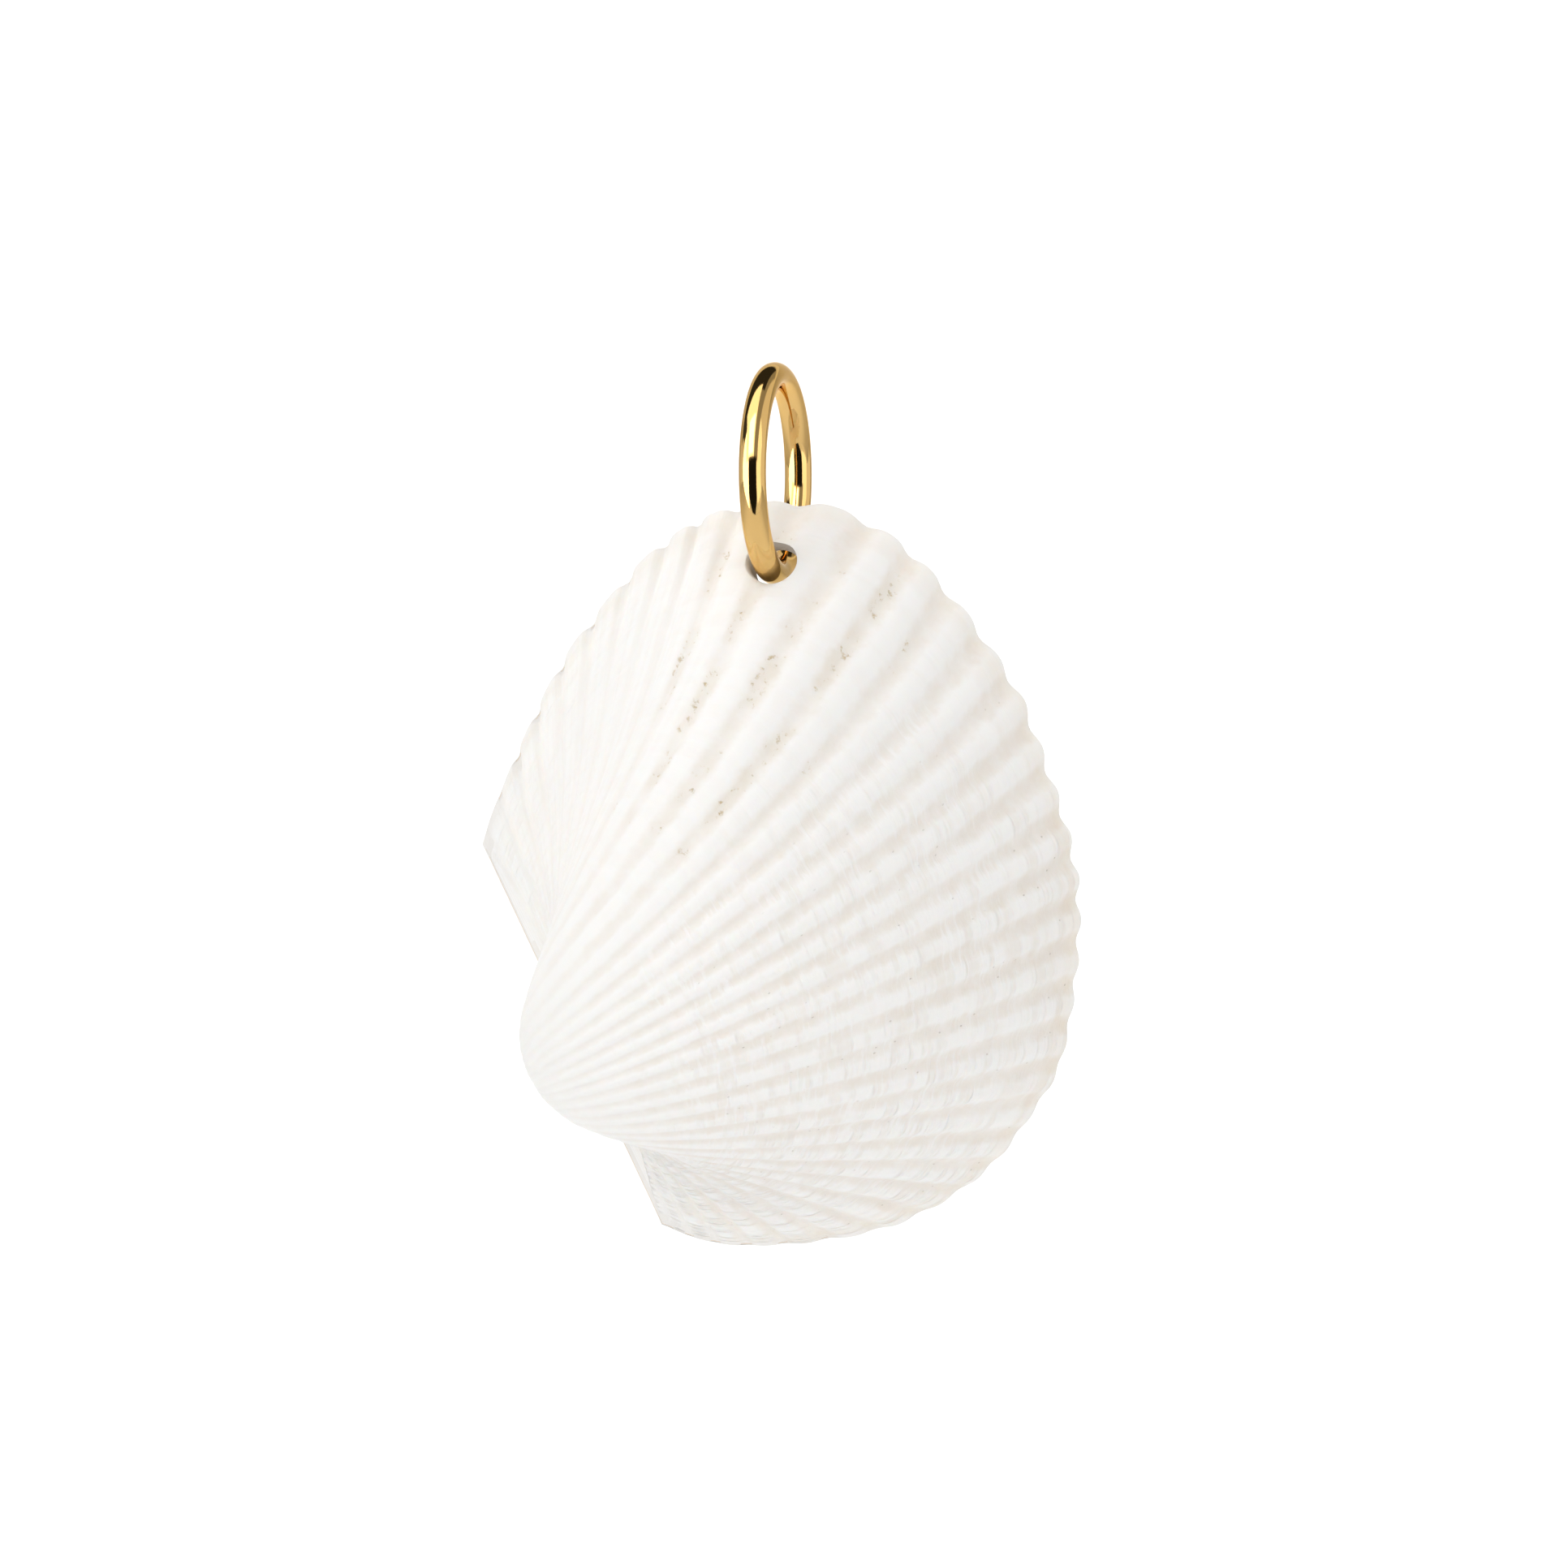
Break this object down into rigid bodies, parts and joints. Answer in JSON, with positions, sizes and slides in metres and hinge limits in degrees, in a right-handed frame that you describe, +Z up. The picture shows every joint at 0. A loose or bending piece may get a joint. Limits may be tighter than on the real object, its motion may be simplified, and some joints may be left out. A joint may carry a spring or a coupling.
{
  "type": "ark shell pendant",
  "caption": "Ribbed white ark shell valve, drilled near its edge, hanging from a round gold jump ring.",
  "frame": {"origin": "top of the inside of the jump ring, where a chain or cord passes", "axes": "+Z up, opposite to the way the pendant hangs; the jump ring lies in the YZ plane and the ribbed outside of the valve faces -Y"},
  "size_m": [0.0253, 0.0156, 0.039],
  "materials": {
    "shell": "satin",
    "gold": "polished"
  },
  "bodies": {
    "ring": {"jump_ring": "gold"},
    "shell": {"shell": "shell"}
  },
  "joints": [
    {"name": "shell_swing", "type": "hinge", "parent": "ring", "child": "shell", "pos_m": [0, 0, -0.0037], "axis": [1, 0, 0], "continuous": true}
  ]
}
